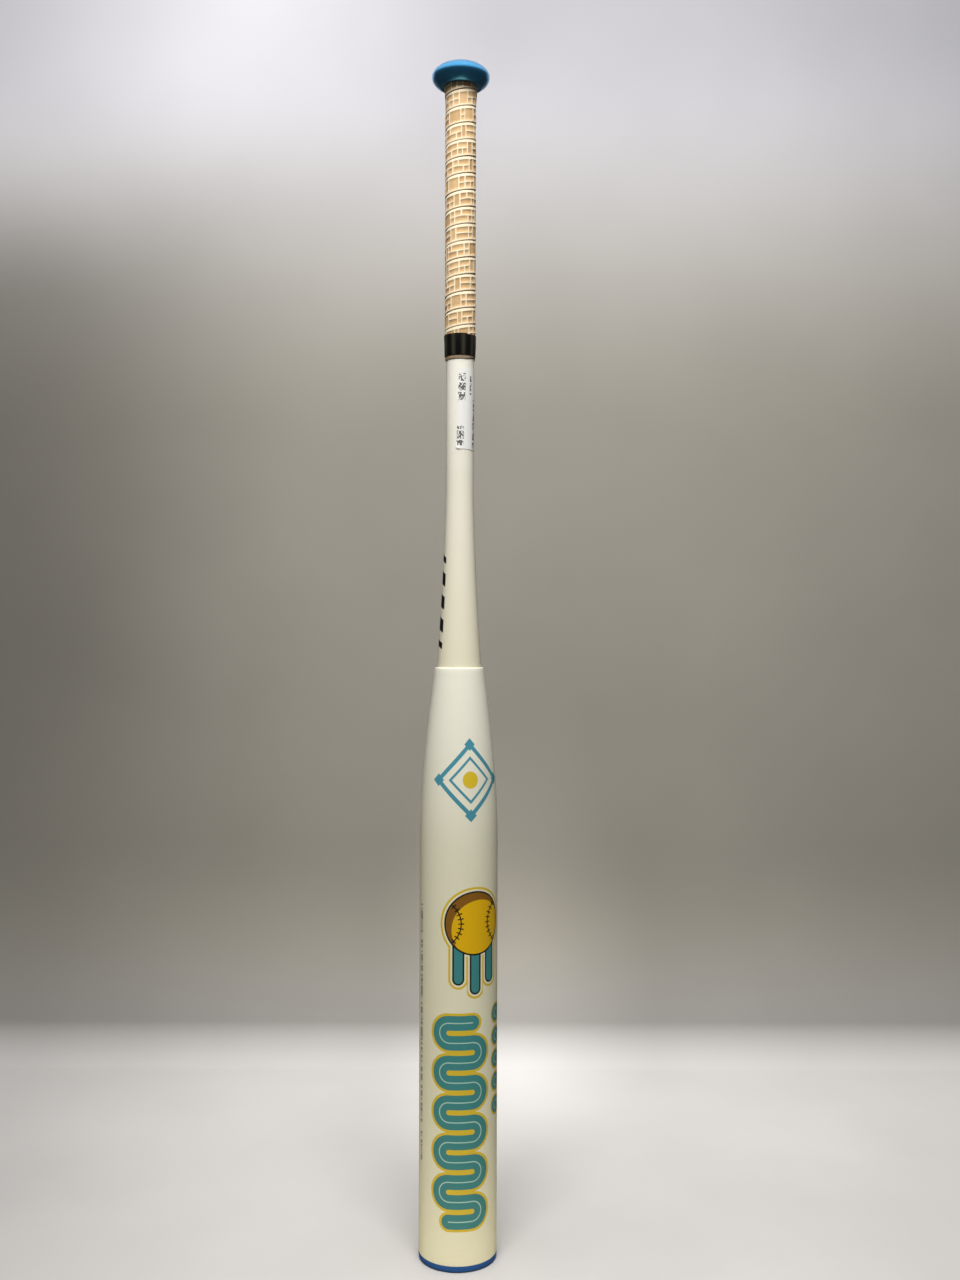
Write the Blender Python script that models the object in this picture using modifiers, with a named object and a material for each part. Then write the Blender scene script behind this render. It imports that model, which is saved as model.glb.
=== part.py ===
"""A two-piece softball bat, standing on its end cap.

Metres, with +Z up the bat's axis and the origin in the middle of the foot. The barrel is a hollow
shell that tapers to a lip. The handle's flared tail is wedged in that taper on an elastomer sleeve,
a moulded cap plugs the barrel's open end, and a moulded knob closes the handle's other end. A tape
is wound round the handle from the knob down, and a narrow band holds its last turn.
Front is -Y. A bearing is measured from the front, round towards +X.
"""

import math

import bmesh
import bpy
import numpy as np

# How the model is cut up and how close its pieces seat
FACETS = 40
CURVE_STEPS = 8
SEAT_GAP = 0.0003
EDGE_ROUND = 0.0006

# Whole bat, from the foot to the knob's end
OVERALL_LENGTH = 0.8636

# Barrel shell
BARREL_DIAMETER = 0.0564
BARREL_LENGTH = 0.4215
BARREL_WALL = 0.0046
TAPER_LENGTH = 0.1270
LIP_WALL = 0.00125

# End cap
CAP_FLANGE = 0.0044
CAP_CORNER = 0.0022
CAP_FOOT_WIDTH = 0.0060
CAP_DISH_DEPTH = 0.0016
CAP_DISH_SLOPE = 0.0024
CAP_FLOOR = 0.0034
CAP_STEM_LENGTH = 0.0240
CAP_STEM_WALL = 0.0036
CAP_RIB_COUNT = 4
CAP_RIB_RISE = 0.0008
CAP_RIB_WIDTH = 0.0022

# Handle tube
HANDLE_DIAMETER = 0.0203
HANDLE_WALL = 0.0019
NECK_DIAMETER = 0.0323
FLARE_LENGTH = 0.1300
FLARE_POWER = 1.55
TAIL_LENGTH = 0.0750
TAIL_WALL = 0.0024
SHOULDER_DEPTH = 0.0040

# Sleeve and plugs
SLEEVE_WALL = 0.0010
SLEEVE_LENGTH = 0.0640
TAIL_PLUG_LENGTH = 0.0120
KNOB_PLUG_LENGTH = 0.0180

# Knob, an oval in section with a flat underside and a low collar round its disc
KNOB_DIAMETER = 0.0421
KNOB_HALF_HEIGHT = 0.0102
KNOB_FLAT_WIDTH = 0.0048
KNOB_COLLAR_WIDTH = 0.0009
KNOB_COLLAR_RISE = 0.0007
KNOB_END_WALL = 0.0036
DISC_DIAMETER = 0.0130
DISC_THICKNESS = 0.0010

# Grip tape, a flat strip wound up the handle as a right-handed helix
TAPE_LENGTH_ON_HANDLE = 0.1977
TAPE_THICKNESS = 0.0006
TAPE_PITCH = 0.0121
TAPE_TURN_GAP = 0.00046
TAPE_CHAMFER = 0.0002
TAPE_TIP = 0.0020
TAPE_DOUBLED_LENGTH = 0.0130
TAPE_DOUBLED_RISE = 0.0009
TAPE_STEPS_PER_TURN = 24

# Band that holds the tape's lower end
BAND_WIDTH = 0.0158
BAND_THICKNESS = 0.0003
TAPE_PEEK = 0.0020

# Paper label stuck on the handle, below the grip
LABEL_HEIGHT = 0.0580
LABEL_BELOW_GRIP = 0.0072
LABEL_THICKNESS = 0.0002
LABEL_BEARING = math.radians(-10)
LABEL_WRAP = math.radians(122)
LABEL_STEPS = 14

# Radii and heights that follow from the sizes above
BARREL_RADIUS = BARREL_DIAMETER / 2
BORE_RADIUS = BARREL_RADIUS - BARREL_WALL
NECK_RADIUS = NECK_DIAMETER / 2
LIP_BORE = NECK_RADIUS + SEAT_GAP
LIP_RADIUS = LIP_BORE + LIP_WALL
HANDLE_RADIUS = HANDLE_DIAMETER / 2
HANDLE_BORE = HANDLE_RADIUS - HANDLE_WALL
SOCKET_RADIUS = HANDLE_RADIUS + SEAT_GAP
KNOB_RADIUS = KNOB_DIAMETER / 2
DISC_RADIUS = DISC_DIAMETER / 2
DISC_SEAT_RADIUS = DISC_RADIUS + SEAT_GAP
COLLAR_RADIUS = DISC_SEAT_RADIUS + KNOB_COLLAR_WIDTH
KNOB_FLAT_RADIUS = SOCKET_RADIUS + KNOB_FLAT_WIDTH

BARREL_FOOT = CAP_FLANGE + SEAT_GAP
LIP_HEIGHT = BARREL_FOOT + BARREL_LENGTH
TAPER_START = LIP_HEIGHT - TAPER_LENGTH
SHOULDER_HEIGHT = LIP_HEIGHT - SHOULDER_DEPTH
TAIL_END = LIP_HEIGHT - TAIL_LENGTH
FLARE_TOP = LIP_HEIGHT + FLARE_LENGTH

DISC_SEAT = OVERALL_LENGTH - DISC_THICKNESS - SEAT_GAP
SOCKET_END = DISC_SEAT - KNOB_END_WALL
HANDLE_TOP = SOCKET_END - SEAT_GAP


def oval_height(radius):
    """How far above or below its widest ring the knob's oval is at this radius."""
    return KNOB_HALF_HEIGHT * math.sqrt(1 - (radius / KNOB_RADIUS) ** 2)


KNOB_WIDEST = OVERALL_LENGTH - KNOB_COLLAR_RISE - oval_height(COLLAR_RADIUS)
KNOB_UNDERSIDE = KNOB_WIDEST - oval_height(KNOB_FLAT_RADIUS)
TAPE_TOP = KNOB_UNDERSIDE - SEAT_GAP
TAPE_BOTTOM = TAPE_TOP - TAPE_LENGTH_ON_HANDLE
BAND_BOTTOM = TAPE_BOTTOM + TAPE_PEEK
LABEL_TOP = TAPE_BOTTOM - LABEL_BELOW_GRIP


def taper_share(height):
    """1 along the straight barrel, then down to 0 at the lip as a quarter of a cosine."""
    t = min(1.0, max(0.0, (height - TAPER_START) / TAPER_LENGTH))
    return math.cos(t * math.pi / 2)


def barrel_outside(height):
    return LIP_RADIUS + (BARREL_RADIUS - LIP_RADIUS) * taper_share(height)


def barrel_bore(height):
    return LIP_BORE + (BORE_RADIUS - LIP_BORE) * taper_share(height)


def sleeve_outside(height):
    return barrel_bore(height) - SEAT_GAP


def tail_outside(height):
    return sleeve_outside(height) - SLEEVE_WALL - SEAT_GAP


def tail_bore(height):
    return tail_outside(height) - TAIL_WALL


def flare_share(height):
    """0 along the handle, then up to 1 at the lip, by a power of the way down the flare."""
    return min(1.0, max(0.0, (FLARE_TOP - height) / FLARE_LENGTH)) ** FLARE_POWER


def handle_outside(height):
    return HANDLE_RADIUS + (NECK_RADIUS - HANDLE_RADIUS) * flare_share(height)


def handle_bore(height):
    return HANDLE_BORE + (tail_bore(SHOULDER_HEIGHT) - HANDLE_BORE) * flare_share(height)


def outline(radius_at, start, end, steps):
    """Points (radius, height) of a radius that follows a rule, from one height to another."""
    return [(radius_at(height), height) for height in np.linspace(start, end, steps + 1)]


def arc(centre_radius, centre_height, half_width, half_height, start, end, steps):
    """Points of an oval arc about (centre_radius, centre_height), between two angles in radians."""
    return [
        (centre_radius + half_width * math.cos(angle), centre_height + half_height * math.sin(angle))
        for angle in np.linspace(start, end, steps + 1)
    ]


def paint(name, colour, roughness, metallic=0.0):
    material = bpy.data.materials.new(name)
    material.use_nodes = True
    shader = material.node_tree.nodes["Principled BSDF"]
    shader.inputs["Base Color"].default_value = (*colour, 1.0)
    shader.inputs["Roughness"].default_value = roughness
    shader.inputs["Metallic"].default_value = metallic
    material.diffuse_color = (*colour, 1.0)
    return material


def add_piece(name, mesh, base_height, material):
    """A named piece whose own origin is on the bat's axis, at its base height."""
    mesh.materials.append(material)
    piece = bpy.data.objects.new(name, mesh)
    piece.location.z = base_height
    piece.parent = bat_axis
    bat.objects.link(piece)
    return piece


def turned(name, profile, base_height, material, closed=False):
    """A round piece: half its section, in (radius, height), turned about the axis by a Screw.

    The profile runs down the outer side. A closed one makes a ring or a tube, and an open one
    starts and ends on the axis.
    """
    mesh = bpy.data.meshes.new(name)
    points = [(radius, 0.0, height - base_height) for radius, height in profile]
    edges = [(i, i + 1) for i in range(len(points) - 1)]
    if closed:
        edges.append((len(points) - 1, 0))
    mesh.from_pydata(points, edges, [])
    piece = add_piece(name, mesh, base_height, material)
    screw = piece.modifiers.new("turn", "SCREW")
    screw.steps = FACETS
    screw.render_steps = FACETS
    screw.use_merge_vertices = True
    screw.merge_threshold = 0.00001
    screw.use_smooth_shade = True
    return piece


def make_barrel_shell(material):
    rim = LIP_RADIUS - EDGE_ROUND
    lip_edge = arc(rim, LIP_HEIGHT - EDGE_ROUND, EDGE_ROUND, EDGE_ROUND, math.pi / 2, 0, 3)
    taper = outline(barrel_outside, LIP_HEIGHT - 3 * EDGE_ROUND, TAPER_START, CURVE_STEPS + 2)
    foot = [
        (BARREL_RADIUS, BARREL_FOOT + EDGE_ROUND),
        (BARREL_RADIUS - EDGE_ROUND, BARREL_FOOT),
        (BORE_RADIUS, BARREL_FOOT),
    ]
    bore = outline(barrel_bore, TAPER_START, LIP_HEIGHT, CURVE_STEPS)
    turned("barrel_shell", lip_edge + taper + foot + bore, BARREL_FOOT, material, closed=True)


def cap_ribs(core, crest):
    """The barbed rings down the cap's stem: each slopes out downwards, then steps back square."""
    points = []
    spacing = CAP_STEM_LENGTH / (CAP_RIB_COUNT + 1)
    for rib in range(CAP_RIB_COUNT, 0, -1):
        middle = CAP_FLANGE + rib * spacing
        points.append((core, middle + CAP_RIB_WIDTH / 2))
        points.append((crest, middle - CAP_RIB_WIDTH / 4))
        points.append((crest, middle - CAP_RIB_WIDTH / 2))
        points.append((core, middle - CAP_RIB_WIDTH / 2))
    return points


def make_end_cap(material):
    """A dished flange, flush with the barrel, on a hollow stem whose ribs grip the bore."""
    crest = BORE_RADIUS - SEAT_GAP
    core = crest - CAP_RIB_RISE
    hollow = core - CAP_STEM_WALL
    top = CAP_FLANGE + CAP_STEM_LENGTH
    floor = CAP_DISH_DEPTH + CAP_FLOOR
    foot_outside = BARREL_RADIUS - CAP_CORNER
    foot_inside = foot_outside - CAP_FOOT_WIDTH
    inside = [(0, floor), (hollow, floor), (hollow, top)]
    stem_end = [(core - EDGE_ROUND, top), (core, top - EDGE_ROUND)]
    flange = [
        (core, CAP_FLANGE),
        (BARREL_RADIUS - EDGE_ROUND, CAP_FLANGE),
        (BARREL_RADIUS, CAP_FLANGE - EDGE_ROUND),
    ]
    corner = arc(foot_outside, CAP_CORNER, CAP_CORNER, CAP_CORNER, 0, -math.pi / 2, 4)
    dish = [(foot_inside, 0), (foot_inside - CAP_DISH_SLOPE, CAP_DISH_DEPTH), (0, CAP_DISH_DEPTH)]
    profile = inside + stem_end + cap_ribs(core, crest) + flange + corner + dish
    turned("end_cap", profile, 0.0, material)


def make_handle_tube(material):
    """The tube from its end in the knob to its tail in the barrel, with a shoulder above the sleeve."""
    top = [
        (HANDLE_RADIUS - EDGE_ROUND, HANDLE_TOP),
        (HANDLE_RADIUS, HANDLE_TOP - EDGE_ROUND),
    ]
    flare = outline(handle_outside, FLARE_TOP, LIP_HEIGHT, CURVE_STEPS + 2)
    shoulder = [(sleeve_outside(SHOULDER_HEIGHT), SHOULDER_HEIGHT)]
    tail = outline(tail_outside, SHOULDER_HEIGHT, TAIL_END, CURVE_STEPS // 2)
    inner_tail = outline(tail_bore, TAIL_END, SHOULDER_HEIGHT, CURVE_STEPS // 2)
    inner_flare = outline(handle_bore, LIP_HEIGHT, FLARE_TOP, CURVE_STEPS)
    end = [(HANDLE_BORE, HANDLE_TOP)]
    profile = top + flare + shoulder + tail + inner_tail + inner_flare + end
    turned("handle_tube", profile, TAIL_END, material, closed=True)


def make_joint_sleeve(material):
    """The elastomer cone between the handle's tail and the barrel's taper."""
    top = SHOULDER_HEIGHT - SEAT_GAP
    bottom = top - SLEEVE_LENGTH
    outside = outline(sleeve_outside, top, bottom, CURVE_STEPS // 2)
    inside = outline(lambda height: sleeve_outside(height) - SLEEVE_WALL, bottom, top, CURVE_STEPS // 2)
    turned("joint_sleeve", outside + inside, bottom, material, closed=True)


def make_tail_plug(material):
    """The foam plug in the tail's open end, tapered to fit its bore."""
    top = TAIL_END + TAIL_PLUG_LENGTH
    side = outline(lambda height: tail_bore(height) - SEAT_GAP, top, TAIL_END, 2)
    turned("tail_plug", [(0, top)] + side + [(0, TAIL_END)], TAIL_END, material)


def make_knob_plug(material):
    bottom = HANDLE_TOP - KNOB_PLUG_LENGTH
    radius = HANDLE_BORE - SEAT_GAP
    side = [(radius, HANDLE_TOP), (radius, bottom + EDGE_ROUND), (radius - EDGE_ROUND, bottom)]
    turned("knob_plug", [(0, HANDLE_TOP)] + side + [(0, bottom)], bottom, material)


def make_knob(material):
    """An oval knob with a seat for the disc in its collar, a flat underside and a socket."""
    collar_angle = math.acos(COLLAR_RADIUS / KNOB_RADIUS)
    flat_angle = math.acos(KNOB_FLAT_RADIUS / KNOB_RADIUS)
    ease = KNOB_COLLAR_RISE / 2
    seat = [(0, DISC_SEAT), (DISC_SEAT_RADIUS, DISC_SEAT), (DISC_SEAT_RADIUS, OVERALL_LENGTH)]
    collar = [(COLLAR_RADIUS - ease, OVERALL_LENGTH), (COLLAR_RADIUS, OVERALL_LENGTH - ease)]
    upper = arc(0, KNOB_WIDEST, KNOB_RADIUS, KNOB_HALF_HEIGHT, collar_angle, 0, CURVE_STEPS - 2)
    lower = arc(0, KNOB_WIDEST, KNOB_RADIUS, KNOB_HALF_HEIGHT, 0, -flat_angle, CURVE_STEPS - 2)
    socket = [(SOCKET_RADIUS, KNOB_UNDERSIDE), (SOCKET_RADIUS, SOCKET_END), (0, SOCKET_END)]
    turned("knob", seat + collar + upper + lower[1:] + socket, KNOB_UNDERSIDE, material)


def make_knob_disc(material):
    bottom = OVERALL_LENGTH - DISC_THICKNESS
    side = [(DISC_RADIUS, OVERALL_LENGTH), (DISC_RADIUS, bottom)]
    turned("knob_disc", [(0, OVERALL_LENGTH)] + side + [(0, bottom)], bottom, material)


def tape_edges():
    """Angle, low edge and high edge of the tape at each step of its helix.

    The strip keeps one width, less where the grip's ends cut it off level, down to a blunt tip.
    """
    width = TAPE_PITCH - TAPE_TURN_GAP
    start = TAPE_BOTTOM + TAPE_TIP - width / 2
    rise = TAPE_LENGTH_ON_HANDLE - 2 * TAPE_TIP + width
    steps = math.ceil(rise / TAPE_PITCH * TAPE_STEPS_PER_TURN)
    middle = np.linspace(start, start + rise, steps + 1)
    angle = (middle - start) / TAPE_PITCH * 2 * math.pi
    return angle, np.maximum(middle - width / 2, TAPE_BOTTOM), np.minimum(middle + width / 2, TAPE_TOP)


def tape_inside(height):
    """The radius of the tape's corners on the handle, which its flat sides between them fall short of."""
    return (handle_outside(height) + SEAT_GAP) / math.cos(math.pi / TAPE_STEPS_PER_TURN)


def tape_outside(height):
    """The tape's outer radius: one thickness, and more next to the knob, where its start is doubled."""
    doubled = min(1.0, max(0.0, (height - TAPE_TOP) / TAPE_DOUBLED_LENGTH + 1))
    return tape_inside(height) + TAPE_THICKNESS + TAPE_DOUBLED_RISE * (1 - math.cos(doubled * math.pi)) / 2


def tape_points():
    """The tape's sections as an array of steps by corners by (x, y, z).

    A section is a thin upright rectangle with its two outer corners chamfered.
    """
    angle, low, high = tape_edges()
    inner = np.array([tape_inside(height) for height in low])
    outer_low = np.array([tape_outside(height) for height in low])
    outer_high = np.array([tape_outside(height) for height in high])
    edge_low = outer_low - TAPE_CHAMFER
    edge_high = outer_high - TAPE_CHAMFER
    radius = np.stack([inner, edge_low, outer_low, outer_high, edge_high, inner], axis=1)
    height = np.stack([low, low, low + TAPE_CHAMFER, high - TAPE_CHAMFER, high, high], axis=1)
    turn = angle[:, None]
    return np.stack([radius * np.cos(turn), radius * np.sin(turn), height], axis=2)


def least_turn_gap(points):
    """The least distance between points of the tape that are more than half a turn apart."""
    apart = TAPE_STEPS_PER_TURN // 2
    least = math.inf
    for step in range(len(points) - apart):
        later = points[step + apart:].reshape(-1, 1, 3)
        least = min(least, float(np.linalg.norm(later - points[step], axis=2).min()))
    return least


def make_grip_tape(material):
    """The wound tape, a loft of unlike sections because the strip narrows to a tip at each end."""
    points = tape_points()
    steps, corners = points.shape[:2]
    shape = bmesh.new()
    rows = [[shape.verts.new(corner) for corner in section] for section in points]
    for row, following in zip(rows, rows[1:]):
        for i in range(corners):
            after = (i + 1) % corners
            shape.faces.new((row[i], row[after], following[after], following[i]))
    shape.faces.new(rows[0])
    shape.faces.new(rows[-1])
    bmesh.ops.recalc_face_normals(shape, faces=shape.faces)
    mesh = bpy.data.meshes.new("grip_tape")
    bmesh.ops.translate(shape, verts=shape.verts, vec=(0, 0, -TAPE_BOTTOM))
    shape.to_mesh(mesh)
    shape.free()
    add_piece("grip_tape", mesh, TAPE_BOTTOM, material)
    turns = (steps - 1) / TAPE_STEPS_PER_TURN
    print(f"grip tape: {turns:.1f} turns, least gap to itself {least_turn_gap(points) * 1000:.2f} mm")


def make_finishing_band(material):
    """The thin band over the tape's lower end, with its outer edges eased."""
    inner = tape_outside(BAND_BOTTOM) + SEAT_GAP
    outer = inner + BAND_THICKNESS
    top = BAND_BOTTOM + BAND_WIDTH
    ease = BAND_THICKNESS / 2
    profile = [
        (inner, top),
        (outer - ease, top),
        (outer, top - ease),
        (outer, BAND_BOTTOM + ease),
        (outer - ease, BAND_BOTTOM),
        (inner, BAND_BOTTOM),
    ]
    turned("finishing_band", profile, BAND_BOTTOM, material, closed=True)


def make_size_label(material):
    """A paper label: an upright line swept part of the way round the handle, then given thickness."""
    mesh = bpy.data.meshes.new("size_label")
    bottom = LABEL_TOP - LABEL_HEIGHT
    radius = handle_outside(bottom) + SEAT_GAP
    mesh.from_pydata([(radius, 0, LABEL_HEIGHT), (radius, 0, 0)], [(0, 1)], [])
    piece = add_piece("size_label", mesh, bottom, material)
    piece.rotation_euler.z = LABEL_BEARING - math.pi / 2
    screw = piece.modifiers.new("wrap", "SCREW")
    screw.angle = LABEL_WRAP
    screw.steps = LABEL_STEPS
    screw.render_steps = LABEL_STEPS
    sheet = piece.modifiers.new("paper", "SOLIDIFY")
    sheet.thickness = LABEL_THICKNESS
    sheet.offset = 1.0


for leftover in list(bpy.data.objects):
    bpy.data.objects.remove(leftover)

bat = bpy.data.collections.new("softball_bat")
bpy.context.scene.collection.children.link(bat)
bat_axis = bpy.data.objects.new("bat_axis", None)
bat.objects.link(bat_axis)

barrel_paint = paint("barrel_paint", (0.86, 0.84, 0.70), 0.28)
handle_paint = paint("handle_paint", (0.88, 0.87, 0.78), 0.28)
cap_moulding = paint("cap_moulding", (0.012, 0.09, 0.31), 0.35)
knob_moulding = paint("knob_moulding", (0.07, 0.44, 0.90), 0.20)
tan_tape = paint("tan_tape", (0.72, 0.52, 0.30), 0.62)
black_tape = paint("black_tape", (0.01, 0.01, 0.012), 0.30)
label_paper = paint("label_paper", (0.88, 0.88, 0.87), 0.55)
dark_elastomer = paint("dark_elastomer", (0.05, 0.05, 0.055), 0.7)
grey_foam = paint("grey_foam", (0.35, 0.35, 0.36), 0.9)
disc_film = paint("disc_film", (0.80, 0.80, 0.78), 0.25)

make_barrel_shell(barrel_paint)
make_end_cap(cap_moulding)
make_handle_tube(handle_paint)
make_joint_sleeve(dark_elastomer)
make_tail_plug(grey_foam)
make_knob_plug(grey_foam)
make_knob(knob_moulding)
make_knob_disc(disc_film)
make_grip_tape(tan_tape)
make_finishing_band(black_tape)
make_size_label(label_paper)
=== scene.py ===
"""The looks of a two-piece softball bat that stands on its end cap.

Metres, with +Z up the bat's axis and the origin in the middle of the foot. Front is -Y, and a bearing
is measured from the front, round towards +X. New pieces are surfaces worked out on grids: rings of
points up a profile, or sections carried along a helix. Patterns on the barrel are printed by shader
nodes from the distance to each figure's outline.
"""

import math
from functools import reduce

import bmesh
import bpy
import numpy as np
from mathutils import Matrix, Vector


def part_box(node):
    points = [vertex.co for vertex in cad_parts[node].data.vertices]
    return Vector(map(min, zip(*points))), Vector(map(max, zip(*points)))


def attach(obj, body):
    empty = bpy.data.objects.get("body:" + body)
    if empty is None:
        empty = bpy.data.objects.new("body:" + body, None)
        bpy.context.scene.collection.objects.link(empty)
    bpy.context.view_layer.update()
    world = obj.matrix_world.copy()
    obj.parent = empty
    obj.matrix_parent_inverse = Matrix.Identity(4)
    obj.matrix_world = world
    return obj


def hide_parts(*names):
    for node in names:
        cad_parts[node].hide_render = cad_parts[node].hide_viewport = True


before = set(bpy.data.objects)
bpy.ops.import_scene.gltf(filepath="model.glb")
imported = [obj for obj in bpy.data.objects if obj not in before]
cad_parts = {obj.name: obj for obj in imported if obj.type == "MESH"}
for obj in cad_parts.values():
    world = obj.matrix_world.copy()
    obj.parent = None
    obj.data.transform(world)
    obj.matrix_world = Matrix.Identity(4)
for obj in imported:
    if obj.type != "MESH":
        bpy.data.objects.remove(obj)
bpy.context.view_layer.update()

MM = 0.001

# How finely round pieces are cut up
SEGMENTS = 144
SHARP_FROM = math.radians(40)

# Heights and radii that the frame gives
BARREL_LOW, BARREL_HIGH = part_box("barrel_shell")
CAP_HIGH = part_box("end_cap")[1]
HANDLE_LOW, HANDLE_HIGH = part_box("handle_tube")
KNOB_LOW, KNOB_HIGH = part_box("knob")
DISC_LOW, DISC_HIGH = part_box("knob_disc")
TAPE_LOW, TAPE_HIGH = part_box("grip_tape")
BAND_LOW, BAND_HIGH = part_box("finishing_band")
LABEL_LOW, LABEL_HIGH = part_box("size_label")

BARREL_RADIUS = BARREL_HIGH.x
BARREL_FOOT = BARREL_LOW.z
LIP_HEIGHT = BARREL_HIGH.z
KNOB_RADIUS = KNOB_HIGH.x
BAT_LENGTH = KNOB_HIGH.z

# Sizes of the barrel, handle and sleeve that the frame's boxes don't give
BARREL_WALL = 4.6 * MM
TAPER_LENGTH = 127.0 * MM
LIP_BORE = 16.45 * MM
LIP_RADIUS = 17.7 * MM
HANDLE_RADIUS = 10.15 * MM
HANDLE_WALL = 1.9 * MM
NECK_RADIUS = 16.15 * MM
FLARE_LENGTH = 130.0 * MM
FLARE_POWER = 1.55
SHOULDER_DEPTH = 4.0 * MM
SLEEVE_ROOM = 1.6 * MM
TAIL_WALL = 2.4 * MM

TAPER_START = LIP_HEIGHT - TAPER_LENGTH
FLARE_TOP = LIP_HEIGHT + FLARE_LENGTH
BORE_RADIUS = BARREL_RADIUS - BARREL_WALL

# Knob
KNOB_WIDEST = 853.4 * MM
KNOB_HALF_HEIGHT = 10.2 * MM

# Grip tape
TAPE_PITCH = 12.1 * MM
TAPE_TIP = 2.0 * MM
TAPE_SEAM = 0.12 * MM
TAPE_BACK_GAP = 0.10 * MM
TAPE_THICKNESS = 0.72 * MM
TAPE_DOUBLED_LENGTH = 13.0 * MM
TAPE_DOUBLED_RISE = 0.9 * MM
TAPE_LOW_EASE = 0.6 * MM
TAPE_HIGH_BEVEL = 2.4 * MM
TAPE_BEVEL_DROP = 0.38 * MM
TAPE_LOW_DROP = 0.18 * MM
# Width of the brown grime at each turn's low edge, which also stands for the crevice's painted shade
TAPE_GRIME_AND_SHADE = 0.5 * MM
TAPE_UNEVEN = 0.03 * MM
TAPE_BOUND_RADIUS = 10.82 * MM
TAPE_BOUND_SPREAD = 0.48 * MM
RIB_RISE = 0.20 * MM
RIB_HALF_WIDTH = 0.34 * MM
RIB_FOOT_HALF_WIDTH = 0.60 * MM
CELL_LENGTH = 3.7 * MM
CELL_RISE = 4.55 * MM
CELL_ROWS = 2
CELLS_LOW = 1.05 * MM
CELL_STRETCHES = ((0.42 * MM, 13 * MM), (0.74 * MM, 31 * MM))
ROW_SWAY = 0.3 * MM
ROW_SWAY_LENGTH = 23 * MM

# Camera and picture, in the photograph's pixels
PICTURE_HEIGHT_PX = 1280
FOCAL_PX = 1324
CAMERA_DISTANCE = 960 * MM
EYE_HEIGHT = 446 * MM
CAMERA_ASIDE = 15 * MM
CAMERA_ROLL = math.radians(-0.16)

# Stage
FLOOR_REACH = 40000 * MM
FLOOR_PATCH = 300 * MM
WALL_BEHIND = 450 * MM
WALL_HALF_WIDTH = 675 * MM
WALL_HEIGHT = 2600 * MM
WALL_TURN = 40 * MM

# How pale the paper is, and the painted light and shade that change it from one place to another: (from,
# to, change)
PAPER_TONE = 0.64
FOOT_FADE = (0, 0.24, -0.29)
HEAD_FADE = (0.66, 1.00, 0.24)
TOP_FADE = (0.98, 1.14, -0.09)
LEFT_FADE = (-0.12, -0.50)
LEFT_DEPTHS = (-0.34, -0.14)
RIGHT_FADE = (0.22, 0.56, -0.13)
FRONT_FADE = (0.34, 0.0, -0.14)

# Painted glows of light on the paper: the middle's x and z, how far each reaches, and how much paler it
# makes it
LOW_GLOW = (0.05, 0.08, 0.16, 0.34, 0.40)
HIGH_GLOW = (-0.24, 1.14, 0.30, 0.26, 0.42)

# Lamps: place, target, size, and power in watts
BAT_MIDDLE = (0.0, 0.0, 0.45)
LAMPS = {
    "key_left": ((-0.20, -0.75, 1.65), BAT_MIDDLE, (0.4, 0.4), 13.5),
    "key_right": ((0.22, -0.75, 1.65), BAT_MIDDLE, (0.4, 0.4), 10.6),
    "overhead": ((0.0, -0.35, 3.4), (0.0, 0.0, 0.0), (1.6, 1.2), 52),
    "behind": ((0.0, 1.7, 1.0), BAT_MIDDLE, (1.4, 1.4), 18),
}


def linear(red, green, blue):
    """A colour given in 0-255 display values, as the linear values that shaders take."""
    display = np.array([red, green, blue]) / 255
    low = display / 12.92
    high = ((display + 0.055) / 1.055) ** 2.4
    return (*np.where(display <= 0.04045, low, high).tolist(), 1.0)


CREAM = linear(240, 236, 207)
PALE_CREAM = linear(242, 238, 220)
IVORY = linear(247, 243, 230)
WARM_IVORY = linear(241, 234, 206)
TEAL = linear(66, 140, 140)
BLUE_TEAL = linear(74, 150, 168)
YELLOW = linear(226, 194, 50)
GOLD = linear(236, 186, 14)
PALE_TEAL = linear(176, 214, 200)
INK = linear(22, 20, 20)
BROWN = linear(140, 94, 28)
AZURE = linear(84, 188, 250)
CAP_BLUE = linear(28, 84, 152)

DUSTY_CREAM = linear(206, 200, 180)
SCUFFED_PAINT = linear(150, 146, 138)
SCUFFED_BLUE = linear(150, 170, 200)
MARKS_GREY = linear(96, 112, 112)
TAPE_RESIDUE = linear(120, 72, 34)

TAN = linear(220, 184, 136)
DEEP_TAN = linear(190, 150, 104)
RIB_CREAM = linear(246, 230, 198)
DEEP_RIB_CREAM = linear(232, 210, 172)
# Painted shade for the slopes of the grip's ribs
RIB_SIDE_SHADE = linear(170, 126, 80)
# Brown grime with a painted crevice shade along the grip's seams
SEAM_GRIME_AND_SHADE = linear(146, 100, 60)
# Dark tan for the grip's sliver below the band, a painted shadow of the band
BAND_SHADOW_TAN = linear(140, 122, 98)
VINYL = linear(13, 13, 13)
# Painted sheen on the black vinyl
VINYL_SHEEN = linear(58, 54, 42)
LABEL_WHITE = linear(246, 244, 238)
LABEL_SHADE = linear(234, 231, 224)

FOAM_GREY = linear(120, 120, 122)
SLEEVE_GREY = linear(48, 48, 52)
DISC_GREY = linear(188, 188, 184)

WARM_PAPER = linear(255, 248, 233)
COOL_PAPER = linear(250, 248, 254)
BLACK = linear(0, 0, 0)
FAR_FLOOR = linear(84, 82, 80)
NEAR_FLOOR = linear(236, 226, 202)
THROWN_WALL = linear(64, 62, 60)
MIRRORED_FLOOR = linear(50, 48, 46)
LOW_ROOM = linear(56, 56, 58)
SEEN_ROOM = linear(164, 162, 160)
HIGH_ROOM = linear(255, 255, 254)


# Surfaces


def arc(radius, height, reach, start, end, steps):
    """Points of a round corner about (radius, height): the centre plus reach times (cos a, sin a)."""
    angle = np.radians(np.linspace(start, end, steps + 1))
    return np.column_stack([radius + reach * np.cos(angle), height + reach * np.sin(angle)])


def along(radius_at, start, end, steps):
    """Points (radius_at(z), z) with z going evenly from start to end."""
    height = np.linspace(start, end, steps + 1)
    return np.column_stack([radius_at(height), height])


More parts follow.
